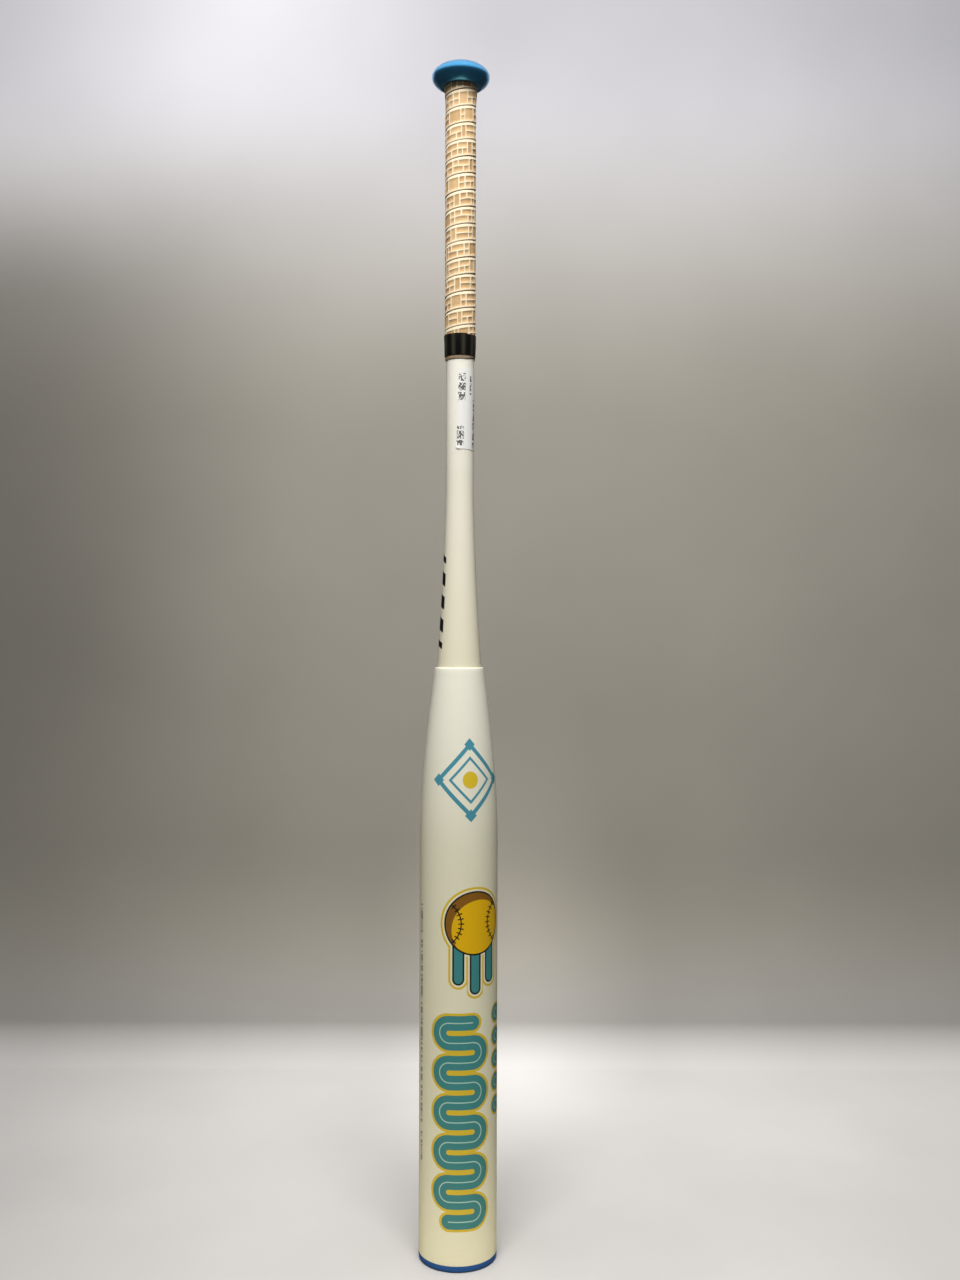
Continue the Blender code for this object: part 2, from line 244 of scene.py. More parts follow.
def grid_faces(rows, columns, rows_close):
    """Quads of a grid that closes round its columns, and round its rows too if asked.

    A quad has the corners (i, j), (i, j+1), (i+1, j+1) and (i+1, j), and (i, j) is vertex number
    i * columns + j.
    """
    i = np.arange(rows if rows_close else rows - 1)[:, None]
    j = np.arange(columns)[None, :]
    below, above = i * columns, (i + 1) % rows * columns
    right = (j + 1) % columns
    return np.stack([below + j, below + right, above + right, above + j], axis=2).reshape(-1, 4)


def in_scene(name, data):
    """A new object with this data."""
    thing = bpy.data.objects.new(name, data)
    bpy.context.scene.collection.objects.link(thing)
    return thing


def new_mesh(name, points, faces):
    mesh = bpy.data.meshes.new(name)
    mesh.from_pydata(points.reshape(-1, 3).tolist(), [], faces)
    return mesh


def finished(name, points, faces):
    """A mesh object from points and faces, with its faces turned outwards and shaded smooth."""
    mesh = new_mesh(name, points, faces)
    shape = bmesh.new()
    shape.from_mesh(mesh)
    bmesh.ops.recalc_face_normals(shape, faces=shape.faces)
    shape.to_mesh(mesh)
    shape.free()
    mesh.shade_smooth()
    mesh.set_sharp_from_angle(angle=SHARP_FROM)
    return in_scene(name, mesh)


def placed(radius, bearing, height):
    """Points round the bat's axis: (r sin b, -r cos b, z)."""
    return np.stack([radius * np.sin(bearing), -radius * np.cos(bearing), height + 0 * bearing], axis=2)


def turned(profile):
    """The rings of points that an outline (r, z) makes when it is turned over every bearing."""
    bearing = np.linspace(0, 2 * math.pi, SEGMENTS, endpoint=False)
    return placed(profile[:, :1], bearing, profile[:, 1:])


def turned_ring(name, *parts):
    """A closed outline (r, z), given in parts and turned about the axis."""
    rings = turned(np.concatenate(parts))
    return finished(name, rings, grid_faces(len(rings), SEGMENTS, True).tolist())


def turned_solid(name, *parts):
    """An outline (r, z) from axis to axis, given in parts and turned, with a fan at each pole."""
    profile = np.concatenate(parts)
    rings = turned(profile[1:-1])
    poles = np.array([[0, 0, profile[0, 1]], [0, 0, profile[-1, 1]]])
    points = np.concatenate([rings.reshape(-1, 3), poles])
    column = np.arange(SEGMENTS)
    after = (column + 1) % SEGMENTS
    last_ring = (len(rings) - 1) * SEGMENTS
    first_pole = np.full(SEGMENTS, len(points) - 2)
    first_fan = np.column_stack([first_pole, after, column])
    last_fan = np.column_stack([first_pole + 1, last_ring + column, last_ring + after])
    faces = grid_faces(len(rings), SEGMENTS, False).tolist() + first_fan.tolist() + last_fan.tolist()
    return finished(name, points, faces)


def strip_along(name, sections):
    """A closed section at each step of a path, joined to the next, with its two end sections as caps."""
    steps, corners = sections.shape[:2]
    caps = [list(range(corners)), list(range((steps - 1) * corners, steps * corners))]
    faces = grid_faces(steps, corners, False).tolist() + caps
    return finished(name, sections, faces)


def wrapped_sheet(name, front, back, bearing, height):
    """A thin sheet round the bat, from the radius of its front and back at each bearing and height.

    A section goes up the front and comes down the back.
    """
    bearing = bearing + 0 * height
    radius, turn, level = (
        np.concatenate([out, home[:, ::-1]], axis=1)
        for out, home in ((front, back), (bearing, bearing), (height, height))
    )
    return strip_along(name, placed(radius, turn, level))


# Node trees


def sum_of(operation):
    """A method that joins a term to others by a math node with this operation."""
    return lambda term, *others: term.joined(operation, *others)


class Term:
    """A number that varies over the surface, held as a node's output, with arithmetic as on paper."""

    def __init__(self, socket):
        self.tree = socket.id_data
        self.socket = socket

    def joined(self, operation, *others):
        node = self.tree.nodes.new("ShaderNodeMath")
        node.operation = operation
        for socket, value in zip(node.inputs, (self, *others)):
            feed(socket, value)
        return Term(node.outputs[0])

    __add__ = sum_of("ADD")
    __sub__ = sum_of("SUBTRACT")
    __mul__ = sum_of("MULTIPLY")
    __truediv__ = sum_of("DIVIDE")
    size = sum_of("ABSOLUTE")
    root = sum_of("SQRT")
    floor = sum_of("FLOOR")
    least = sum_of("MINIMUM")
    most = sum_of("MAXIMUM")
    over = sum_of("GREATER_THAN")

    def folded(self, span):
        """The number brought into -span/2 to span/2 by whole spans."""
        return self.joined("WRAP", span / 2, -span / 2)

    def choose(self, if_one, if_zero):
        """if_one where this number is 1, if_zero where it is 0."""
        return self * if_one + (self * -1 + 1) * if_zero

    def eased(self, start, end):
        """0 up to start and 1 from end on, along an S-shaped curve between them."""
        values = {"Value": self, "From Min": start, "From Max": end}
        node = add_node(self.tree, "ShaderNodeMapRange", values, interpolation_type="SMOOTHSTEP")
        return Term(node.outputs["Result"])

    def fade(self, start, end, change):
        """0 up to start and change from end on."""
        return self.eased(start, end) * change


def feed(socket, value):
    """Gives an input a plain value, or links a term or another node's output to it."""
    output = getattr(value, "socket", value)
    if isinstance(output, bpy.types.NodeSocket):
        socket.id_data.links.new(output, socket)
    else:
        socket.default_value = value


def add_node(tree, kind, values=(), **settings):
    """Adds a node, with values by input name or number and settings by attribute name."""
    node = tree.nodes.new(kind)
    for name, value in settings.items():
        setattr(node, name, value)
    for name, value in dict(values).items():
        feed(node.inputs[name], value)
    return node


def mix(share, first, second):
    """The colour that goes from first to second as share goes from 0 to 1."""
    node = add_node(share.tree, "ShaderNodeMix", {0: share, 6: first, 7: second}, data_type="RGBA")
    return node.outputs[2]


def new_group(name, inputs, *outputs):
    """An empty node group, all floats but for a Normal: its tree, inputs as terms, and output node."""
    tree = bpy.data.node_groups.new(name, "ShaderNodeTree")
    for label, default in inputs.items():
        socket = tree.interface.new_socket(name=label, in_out="INPUT", socket_type="NodeSocketFloat")
        socket.default_value = default
    for label in outputs:
        kind = "NodeSocketVector" if label == "Normal" else "NodeSocketFloat"
        tree.interface.new_socket(name=label, in_out="OUTPUT", socket_type=kind)
    given = tree.nodes.new("NodeGroupInput").outputs
    return tree, [Term(given[label]) for label in inputs], tree.nodes.new("NodeGroupOutput").inputs


def use(tree, group, **values):
    """Places a node group and feeds its inputs by name."""
    return add_node(tree, "ShaderNodeGroup", values, node_tree=group)


def object_place(tree):
    return add_node(tree, "ShaderNodeTexCoord").outputs["Object"]


def split_up(vector):
    """The three numbers of a vector."""
    split = add_node(vector.id_data, "ShaderNodeSeparateXYZ", {0: vector})
    return [Term(split.outputs[axis]) for axis in "XYZ"]


def noise(place, scale, detail=2.0):
    values = {"Vector": place, "Scale": scale, "Detail": detail}
    return Term(add_node(place.id_data, "ShaderNodeTexNoise", values).outputs["Fac"])


def unrolled_group():
    """Where a point is on the surface, rolled out flat: Around = bearing * Radius, and Up = z."""
    tree, (radius,), made = new_group("unrolled", {"Radius": BARREL_RADIUS}, "Around", "Up")
    x, y, z = split_up(object_place(tree))
    feed(made["Around"], x.joined("ARCTAN2", y * -1) * radius)
    feed(made["Up"], z)
    return tree


def inked_group():
    """1 where Distance is below 0 and 0 above, across a soft edge of the width Softness."""
    inputs = {"Distance": 0.0, "Softness": 0.25 * MM}
    tree, (distance, softness), made = new_group("inked", inputs, "Ink")
    feed(made["Ink"], (distance / softness * -1 + 0.5).most(0.0).least(1.0))
    return tree


def grain_group():
    """Fine relief and tone from noise, stretched along z: Normal for the shader, Tone from -1 to 1."""
    inputs = {"Scale": 900.0, "Depth": 0.00003, "Stretch": 1.0}
    tree, (scale, depth, stretch), made = new_group("grain", inputs, "Normal", "Tone")
    squeeze = add_node(tree, "ShaderNodeCombineXYZ", {0: 1.0, 1: 1.0, 2: stretch}).outputs[0]
    factors = {0: object_place(tree), 1: squeeze}
    stretched = add_node(tree, "ShaderNodeVectorMath", factors, operation="MULTIPLY")
    height = noise(stretched.outputs[0], scale, 3.0)
    bump = add_node(tree, "ShaderNodeBump", {"Distance": depth, "Height": height})
    feed(made["Normal"], bump.outputs["Normal"])
    feed(made["Tone"], height * 2 - 1)
    return tree


def handling_group():
    """Marks of use: Smudge is broad and faint, from coarse noise, and Scuff is thin short streaks."""
    tree, (amount,), made = new_group("handling", {"Amount": 1.0}, "Smudge", "Scuff")
    place = object_place(tree)
    aslant = {"Vector": place, "Rotation": (0.4, 0.9, 0.3), "Scale": (40.0, 900.0, 120.0)}
    streaks = add_node(tree, "ShaderNodeMapping", aslant).outputs[0]
    smudge = (noise(place, 22.0, 4.0) - 0.52).most(0.0) * 3 * amount
    scuff = (noise(streaks, 1.0) - 0.68).most(0.0) * 8 * amount
    feed(made["Smudge"], smudge.least(1.0))
    feed(made["Scuff"], scuff.least(1.0))
    return tree


UNROLLED = unrolled_group()
INKED = inked_group()
GRAIN = grain_group()
HANDLING = handling_group()


def ink(distance, softness=0.25 * MM):
    """A mask that is 1 inside a figure, given the distance to its outline."""
    return Term(use(distance.tree, INKED, Distance=distance, Softness=softness).outputs["Ink"])


def unrolled(tree, radius):
    """How far round and up the point is, on the surface rolled out flat."""
    place = use(tree, UNROLLED, Radius=radius)
    return [Term(place.outputs[key]) for key in ("Around", "Up")]


def shaded(colour, share):
    return tuple(share * channel for channel in colour[:3]) + (1.0,)


def new_material(name):
    material = bpy.data.materials.new(name)
    material.use_nodes = True
    return material, material.node_tree, material.node_tree.nodes["Principled BSDF"]


def skinned(name, coat=(0.0, 0.03), wear=0.0, **relief):
    """A material with a coat (weight, roughness) and a fine relief: it, its inputs and its terms.

    The terms are the relief's tone, and with wear also smudges and scuffs.
    """
    material, tree, shader = new_material(name)
    shader.inputs["Coat Weight"].default_value, shader.inputs["Coat Roughness"].default_value = coat
    grain = use(tree, GRAIN, **relief)
    feed(shader.inputs["Normal"], grain.outputs["Normal"])
    terms = [Term(grain.outputs["Tone"])]
    if wear:
        marks = use(tree, HANDLING, Amount=wear)
        terms += [Term(marks.outputs[key]) for key in ("Smudge", "Scuff")]
    return material, shader.inputs, *terms


# Prints


FIGURE_BEARING = math.radians(19)

RIBBON_ASIDE = -7.0 * MM
RIBBON_LOW = 36 * MM
RIBBON_RISE = 14 * MM
RIBBON_BARS = 11
RIBBON_REACH = 8.5 * MM
RIBBON_TEAL = 5.2 * MM
RIBBON_YELLOW = 7.1 * MM
RIBBON_LINE = 0.40 * MM
RIBBON_PAINTS = YELLOW, TEAL, PALE_TEAL

DISCS_ASIDE = 26 * MM
DISCS_MIDDLE = 146 * MM
DISCS_HALF_LENGTH = 41 * MM
DISCS_RISE = 16.4 * MM
DISC_REACH = 6.2 * MM
DISC_EDGE = 1.5 * MM

BALL_ASIDE = 3.5 * MM
BALL_HEIGHT = 246 * MM
BALL_RADIUS = 21.5 * MM
BALL_LIT_ASIDE = 3.5 * MM
BALL_LIT_BELOW = 4.5 * MM
BALL_LIT_RADIUS = BALL_RADIUS * 0.97
OUTLINE = 1.2 * MM
HALO_INSIDE = 2.5 * MM
HALO_OUTSIDE = 4.1 * MM
SEAM_ASIDE = 27 * MM
SEAM_RADIUS = 16.5 * MM
STITCH_SPACING = 3.4 * MM
STITCH_HALF_WIDTH = 0.45 * MM
STITCH_REACH = 2.1 * MM
STREAK_SPACING = 12.5 * MM
STREAK_RADIUS = 3.1 * MM
STREAK_LOW = 200 * MM
STREAK_STEP = 7.0 * MM

DIAMOND_HEIGHT = 347 * MM
DIAMOND_HALF = 25 * MM
DIAMOND_LINE = 1.5 * MM
INNER_DIAMOND_HALF = 15.5 * MM
BASE_HALF = 3.2 * MM
DIAMOND_DISC_RADIUS = 6.0 * MM

MARKS_BEARING = math.radians(-67)
MARKS_HALF_WIDTH = 1.6 * MM
MARKS_MIDDLE = 165 * MM
MARKS_HALF_LENGTH = 92 * MM
MARKS_STRETCH = 46 * MM
MARKS_STEP = 0.8 * MM
MARKS_BLANK_SHARE = 0.32

PALE_FROM = TAPER_START - 40 * MM
PALE_TO = TAPER_START + 90 * MM


def length(across, up):
    """The distance of a point from the origin, by Pythagoras."""
    return (across * across + up * up).root()


def laid(colour, layers):
    """A colour with inks laid over it in turn, each (distance to a figure's outline, paint)."""
    for distance, paint in layers:
        colour = mix(ink(distance), colour, paint)
    return colour


def ribbon_print(across, up):
    """The yellow edge, teal body and pale middle line of a ribbon that goes to and fro.

    It has level bars joined by half circles: on the right between bars 0 and 1, 2 and 3.., and on
    the left between bars 1 and 2, 3 and 4... The distance to it is that to the nearest bar, or past
    the bars to the half circle. It looks the same upside down, so both free ends are written as one.
    """
    rise = RIBBON_RISE
    half = rise * (RIBBON_BARS - 1) / 2
    height = up - (RIBBON_LOW + half)
    bars = (height + half).folded(rise).size()

    def turn(aside, low_bar):
        reach = length(aside - RIBBON_REACH, (height + half - low_bar - rise / 2).folded(2 * rise))
        return (reach - rise / 2).size()

    right = across.over(RIBBON_REACH)
    left = (across * -1).over(RIBBON_REACH)
    bend = right.choose(turn(across, 0), turn(across * -1, rise))
    line = right.most(left).choose(bend, bars)
    outward = across * height.joined("SIGN")
    free = outward.over(RIBBON_REACH) * height.size().over(half - rise / 2)
    end = length(outward - RIBBON_REACH, height.size() - half)
    line = free.choose(end, line)
    beyond = height.size() - (half + rise / 2)
    widths = RIBBON_YELLOW, RIBBON_TEAL, RIBBON_LINE
    return [((line - width).most(beyond), paint) for width, paint in zip(widths, RIBBON_PAINTS)]


def discs_print(across, up):
    """A column of ringed discs: yellow edge, teal face and pale ring."""
    height = up - DISCS_MIDDLE
    reach = length(across, height.folded(DISCS_RISE))
    beyond = height.size() - DISCS_HALF_LENGTH
    ring = (reach - DISC_REACH * 0.5).size() - RIBBON_LINE
    shapes = reach - (DISC_REACH + DISC_EDGE), reach - DISC_REACH, ring
    return [(shape.most(beyond), paint) for shape, paint in zip(shapes, RIBBON_PAINTS)]


def ball_print(across, up):
    """A stitched ball over three streaks, each with a dark outline, a gap and a yellow halo.

    A streak is all that lies within its radius of an upright line, and the outer two are shorter.
    The ball's shaded side is what a smaller circle, moved down to the right, leaves free.
    """
    height = up - BALL_HEIGHT
    face = length(across, height) - BALL_RADIUS
    outer = across.size().over(STREAK_SPACING / 2)
    lane = outer.choose(across.size() - STREAK_SPACING, across)
    below = (outer * STREAK_STEP + STREAK_LOW - up).most(0.0)
    streak = length(lane, below).most(height) - STREAK_RADIUS
    figure = face.least(streak)
    lit = length(across - BALL_LIT_ASIDE, height + BALL_LIT_BELOW) - BALL_LIT_RADIUS
    aside = across.size() - SEAM_ASIDE
    seam = (length(aside, height) - SEAM_RADIUS).size()
    slope = height.joined("ARCTAN2", aside * -1)
    stitch = (slope * SEAM_RADIUS).folded(STITCH_SPACING).size() - STITCH_HALF_WIDTH
    stitching = (seam - STITCH_HALF_WIDTH).least(stitch.most(seam - STITCH_REACH))
    return (
        (figure - HALO_OUTSIDE, YELLOW),
        (figure - HALO_INSIDE, CREAM),
        (figure - OUTLINE, INK),
        (streak, TEAL),
        (face - OUTLINE, INK),
        (face, GOLD),
        (face.most(lit * -1), BROWN),
        (stitching.most(face), INK),
    )


def diamond_print(across, up):
    """A diamond in a diamond, with a square at each corner and a disc inside."""
    height = up - DIAMOND_HEIGHT
    aside, above = across.size(), height.size()
    slant = math.sqrt(0.5)
    outer = ((aside + above - DIAMOND_HALF) * slant).size() - DIAMOND_LINE
    inner = ((aside + above - INNER_DIAMOND_HALF) * slant).size() - DIAMOND_LINE * 0.6
    side_base = ((aside - DIAMOND_HALF).size() + above) * slant - BASE_HALF
    end_base = (aside + (above - DIAMOND_HALF).size()) * slant - BASE_HALF
    teal = outer.least(inner).least(side_base).least(end_base)
    return (teal, BLUE_TEAL), (length(across, height) - DIAMOND_DISC_RADIUS, YELLOW)


def marks_print(around, up):
    """A column of fine level bars at uneven spacing, beside the figures, in stretches."""
    column = (around - MARKS_BEARING * BARREL_RADIUS).size() - MARKS_HALF_WIDTH
    within = (up - MARKS_MIDDLE).size() - MARKS_HALF_LENGTH
    stretch = (up - MARKS_MIDDLE).folded(MARKS_STRETCH).size() - MARKS_STRETCH * 0.46
    steps = (up / MARKS_STEP).floor()
    chance = add_node(up.tree, "ShaderNodeTexWhiteNoise", {"W": steps}, noise_dimensions="1D")
    bars = Term(chance.outputs["Value"]).over(MARKS_BLANK_SHARE)
    return ink(column.most(within).most(stretch)) * bars


def painted(name, colour, printed):
    """Gloss paint over composite, with a print under its clear coat.

    printed makes the printed colour from the base colour and the point's place.
    """
    coat = (0.22, 0.28)
    material, inputs, tone, smudge, scuff = skinned(name, coat, 0.5, Scale=260.0, Depth=0.00006)
    around, up = unrolled(tone.tree, BARREL_RADIUS)
    dusty = mix((tone * 0.06 + smudge * 0.10).most(0.0), colour, DUSTY_CREAM)
    finished_colour = printed(dusty, around, up)
    feed(inputs["Base Color"], mix(scuff * 0.18, finished_colour, SCUFFED_PAINT))
    feed(inputs["Roughness"], smudge * 0.12 + 0.38)
    return material


def barrel_print(base, around, up):
    """The barrel's figures, laid over each other from below. They repeat on the far side."""
    far_side = math.pi * BARREL_RADIUS
    across = (around - FIGURE_BEARING * BARREL_RADIUS).folded(far_side)
    colour = mix(up.eased(PALE_FROM, PALE_TO), base, PALE_CREAM)
    layers = (
        *discs_print(across - DISCS_ASIDE, up),
        *ribbon_print(across - RIBBON_ASIDE, up),
        *ball_print(across - BALL_ASIDE, up),
        *diamond_print(across, up),
    )
    colour = laid(colour, layers)
    return mix(marks_print(around, up) * 0.75, colour, MARKS_GREY)


BAR_BEARING = math.radians(-92)
BAR_HALF_ARC = math.radians(38)
BAR_MIDDLE = 476 * MM
BAR_HALF_LENGTH = 33 * MM
BAR_RISE = 16.5 * MM
BAR_HALF_WIDTH = 4.6 * MM
BAR_SLANT = 0.35


def handle_print(base, around, up):
    """Slanted dark bars on the side of the flare, tape residue under the grip, and a warmer foot."""
    bearing = around / BARREL_RADIUS - BAR_BEARING
    aside = bearing.size() - BAR_HALF_ARC
    slanted = up - BAR_MIDDLE + bearing * (BAR_SLANT * NECK_RADIUS)
    bar = slanted.folded(BAR_RISE).size() - BAR_HALF_WIDTH
    within = slanted.size() - BAR_HALF_LENGTH
    dark = ink(bar.most(aside * NECK_RADIUS).most(within))
    under_grip = ink(up * -1 + (TAPE_LOW.z + 0.4 * MM))
    lower = ((up - LIP_HEIGHT) / (BAND_LOW.z - LIP_HEIGHT) * -1 + 1).most(0.0).least(1.0)
    toned = mix(lower, base, WARM_IVORY)
    residue = mix(under_grip, toned, TAPE_RESIDUE)
    return mix(dark, residue, INK)


def moulded(name, colour, roughness, coat, pearl=0.0):
    """Moulded plastic: a colour with faint mottle, a fine skin texture, light scuffs and maybe pearl."""
    material, inputs, tone, smudge, scuff = skinned(name, (coat, 0.2), 0.6, Scale=420.0, Depth=0.00004)
    inputs["Specular IOR Level"].default_value = 0.3
    inputs["Metallic"].default_value = pearl
    mottled = mix(tone * 0.25 + 0.1, colour, shaded(colour, 0.72))
    feed(inputs["Base Color"], mix(scuff * 0.12, mottled, SCUFFED_BLUE))
    feed(inputs["Roughness"], smudge * 0.15 + roughness)
    return material


def grip_material():
    """Tan blocks between cream ribs, from the strip's own values at each point.

    rib is 1 on a rib or an edge, and a rib's slopes get a painted shade; block is each block's own shade;
    seam is 1 next to the seam, where grime and a painted crevice shade go; and tail is 1 on the sliver that
    shows below the band, painted dark as the band's shadow.
    """
    material, inputs, tone = skinned("parquet_tape", Scale=1500.0, Depth=0.00005)
    rib, block, seam, tail = (
        Term(add_node(tone.tree, "ShaderNodeAttribute", attribute_name=name).outputs["Fac"])
        for name in ("rib", "block", "seam", "tail")
    )
    tan = mix(block * 0.8 + tone * 0.3, TAN, DEEP_TAN)
    cream = mix(tone * 0.3 + 0.2, RIB_CREAM, DEEP_RIB_CREAM)
    # A painted shade on the ribs' slopes, where they meet the blocks
    rib_side_shaded = mix(rib * (rib * -1 + 1) * 0.9, mix(rib, tan, cream), RIB_SIDE_SHADE)
    # Brown grime with a painted crevice shade next to each seam
    grimed_and_shaded = mix(seam.least(1.0) * 0.9, rib_side_shaded, SEAM_GRIME_AND_SHADE)
    # The sliver below the band is painted dark, as the band's shadow
    feed(inputs["Base Color"], mix(tail * 0.9, grimed_and_shaded, BAND_SHADOW_TAN))
    feed(inputs["Roughness"], rib * -0.12 + 0.62)
    return material


# Spacing and place of the painted sheen streaks on the vinyl
SHEEN_STREAK_TURN = math.radians(37.5)
FIRST_SHEEN_STREAK = math.radians(-24.5)


def vinyl_material():
    """Black vinyl tape: glossy, with faint long ripples, and upright paler streaks of painted sheen."""
    ripples = {"Scale": 320.0, "Depth": 0.00008, "Stretch": 0.35}
    material, inputs, _, smudge, _ = skinned("black_vinyl", wear=1.0, **ripples)
    bearing, _ = unrolled(smudge.tree, 1.0)
    aside = (bearing - FIRST_SHEEN_STREAK).folded(SHEEN_STREAK_TURN).size() / (SHEEN_STREAK_TURN / 2)
    # Upright bands of painted sheen, with the smudges added
    streak = (aside * -1.6 + 1).most(0.0) + smudge * 0.3
    feed(inputs["Base Color"], mix(streak.least(1.0), VINYL, VINYL_SHEEN))
    feed(inputs["Roughness"], smudge * 0.2 + 0.24)
    return material


LABEL_TILT = 0.034
LABEL_LEFT = math.radians(-10)
LABEL_RIGHT = math.radians(112)
LABEL_CORNER = 2.0 * MM
LABEL_MIDDLE = (LABEL_LOW.z + LABEL_HIGH.z) / 2
LABEL_LINE_RISE = 6.9 * MM
LABEL_LINE_HALF = 2.95 * MM
LABEL_CELL_WIDTH = 0.85 * MM
LABEL_CELL_HEIGHT = 0.8 * MM
LABEL_BLANK_SHARE = 0.36
LABEL_BLOCKS = MM * np.array(
    [[1.1, 2.6, 627.5, 10.3], [1.1, 2.5, 592.6, 7.0], [8.0, 0.9, 629.4, 6.8], [12.4, 1.2, 602.2, 17.6]]
)


def label_material():
    """White sticker paper under a thin gloss, with blocks of a plain random check of small cells.

    A block is its middle across, half width, middle up and half height, turned with the sheet.
    """
    material, inputs, tone = skinned("label_sheet", (0.25, 0.2), Scale=700.0, Depth=0.00002)
    around, up = unrolled(tone.tree, HANDLE_RADIUS)
    across = around - (up - LABEL_MIDDLE) * LABEL_TILT
    above = up + around * LABEL_TILT
    outlines = [
        ((across - aside).size() - half_width).most((above - height).size() - half_height)
        for aside, half_width, height, half_height in LABEL_BLOCKS
    ]
    gap = above.folded(LABEL_LINE_RISE).size() - LABEL_LINE_HALF
    numbers = {0: (across / LABEL_CELL_WIDTH).floor(), 1: (above / LABEL_CELL_HEIGHT).floor()}
    cell = add_node(up.tree, "ShaderNodeCombineXYZ", numbers).outputs[0]
    chance = add_node(up.tree, "ShaderNodeTexWhiteNoise", {"Vector": cell}, noise_dimensions="2D")
    dark = Term(chance.outputs["Value"]).over(LABEL_BLANK_SHARE)
    check = ink(reduce(Term.least, outlines).most(gap), 0.35 * MM) * dark * 0.85
    paper = mix(tone * 0.2 + 0.1, LABEL_WHITE, LABEL_SHADE)
    feed(inputs["Base Color"], mix(check, paper, INK))
    inputs["Roughness"].default_value = 0.42
    return material


def matt_filling(name, colour, scale, depth):
    """Foam or rubber inside the bat: pitted, with an uneven tone."""
    material, inputs, tone = skinned(name, Scale=scale, Depth=depth)
    feed(inputs["Base Color"], mix(tone + 0.4, colour, shaded(colour, 0.5)))
    inputs["Roughness"].default_value = 0.85
    return material


# Pieces


def barrel_share(height):
    """1 along the straight barrel, then down to 0 at the lip as a quarter of a cosine."""
    return np.cos(np.clip((height - TAPER_START) / TAPER_LENGTH, 0, 1) * math.pi / 2)


def barrel_outside(height):
    return LIP_RADIUS + (BARREL_RADIUS - LIP_RADIUS) * barrel_share(height)


def barrel_bore(height):
    return LIP_BORE + (BORE_RADIUS - LIP_BORE) * barrel_share(height)


def handle_outside(height):
    """The handle's radius, which widens to the neck by a power of the way down the flare."""
    share = np.clip((FLARE_TOP - height) / FLARE_LENGTH, 0, 1) ** FLARE_POWER
    return HANDLE_RADIUS + (NECK_RADIUS - HANDLE_RADIUS) * share


def handle_bore(height):
    return handle_outside(height) - HANDLE_WALL


def tail_outside(height):
    return barrel_bore(height) - SLEEVE_ROOM


def make_barrel():
    """The barrel's shell: a soft lip, the taper, the straight wall, an eased foot and the bore."""
    inner_round, lip_round, foot_round = 0.2 * MM, 0.9 * MM, 0.25 * MM
    return turned_ring(
        "barrel_skin",
        arc(LIP_BORE + inner_round, LIP_HEIGHT - inner_round, inner_round, 180, 90, 4),
        arc(LIP_RADIUS - lip_round, LIP_HEIGHT - lip_round, lip_round, 90, 8, 8),
        along(barrel_outside, LIP_HEIGHT - 2 * lip_round, TAPER_START, 60),
        along(barrel_outside, TAPER_START - 20 * MM, BARREL_FOOT + 4 * MM, 12),
        arc(BARREL_RADIUS - foot_round, BARREL_FOOT + foot_round, foot_round, 0, -90, 5),
        [[BORE_RADIUS, BARREL_FOOT]],
        along(barrel_bore, TAPER_START - 60 * MM, LIP_HEIGHT - 2 * MM, 24),
    )


def make_handle():
    """The handle's tube, from its end in the knob to its tail inside the barrel."""
    shoulder, end_round = LIP_HEIGHT - SHOULDER_DEPTH, 0.4 * MM
    top, tail = HANDLE_HIGH.z, HANDLE_LOW.z
    return turned_ring(
        "handle_skin",
        arc(HANDLE_RADIUS - end_round, top - end_round, end_round, 90, 0, 4),
        along(handle_outside, top - 8 * MM, FLARE_TOP + 10 * MM, 20),
        along(handle_outside, FLARE_TOP, LIP_HEIGHT, 56),
        [[tail_outside(shoulder) + 1.0 * MM, shoulder]],
        along(tail_outside, shoulder - 0.3 * MM, tail, 16),
        along(lambda z: tail_outside(z) - TAIL_WALL, tail, shoulder, 16),
        along(handle_bore, LIP_HEIGHT + 2 * MM, FLARE_TOP, 24),
        [[HANDLE_RADIUS - HANDLE_WALL, top]],
    )


def make_end_cap():
    """The cap: a hollow ribbed stem, a flange flush with the barrel, a round foot and a shallow dish."""
    flange_top, flange_round = BARREL_FOOT - 0.05 * MM, 0.2 * MM
    stem, stem_top = BORE_RADIUS - 1.1 * MM, CAP_HIGH.z
    hollow, hollow_round, stem_round = stem - 3.6 * MM, 1.0 * MM, 0.5 * MM
    rib_half, rib_reach, crest_drop, ribs_inset = 1.1 * MM, 0.8 * MM, 0.5 * MM, 4.8 * MM
    corner = 2.2 * MM
    foot_outside = BARREL_RADIUS - corner
    foot_inside = foot_outside - 6.0 * MM
    ribs = [
        [[stem, middle + rib_half], [stem + rib_reach, middle - crest_drop], [stem, middle - rib_half]]
        for middle in np.linspace(stem_top - ribs_inset, flange_top + ribs_inset, 4)
    ]
    return turned_solid(
        "end_cap_skin",
        [[0, 5 * MM]],
        arc(hollow - hollow_round, 6 * MM, hollow_round, -90, 0, 4),
        [[hollow, stem_top]],
        arc(stem - stem_round, stem_top - stem_round, stem_round, 90, 0, 4),
        *ribs,
        [[stem, flange_top]],
        arc(BARREL_RADIUS - flange_round, flange_top - flange_round, flange_round, 90, 0, 4),
        arc(foot_outside, corner, corner, 0, -90, 12),
        arc(foot_inside, 0.6 * MM, 0.6 * MM, -90, -130, 5),
        arc(foot_inside - 2.4 * MM, 0.9 * MM, 0.7 * MM, 40, 90, 4),
        [[0, 1.6 * MM]],
    )


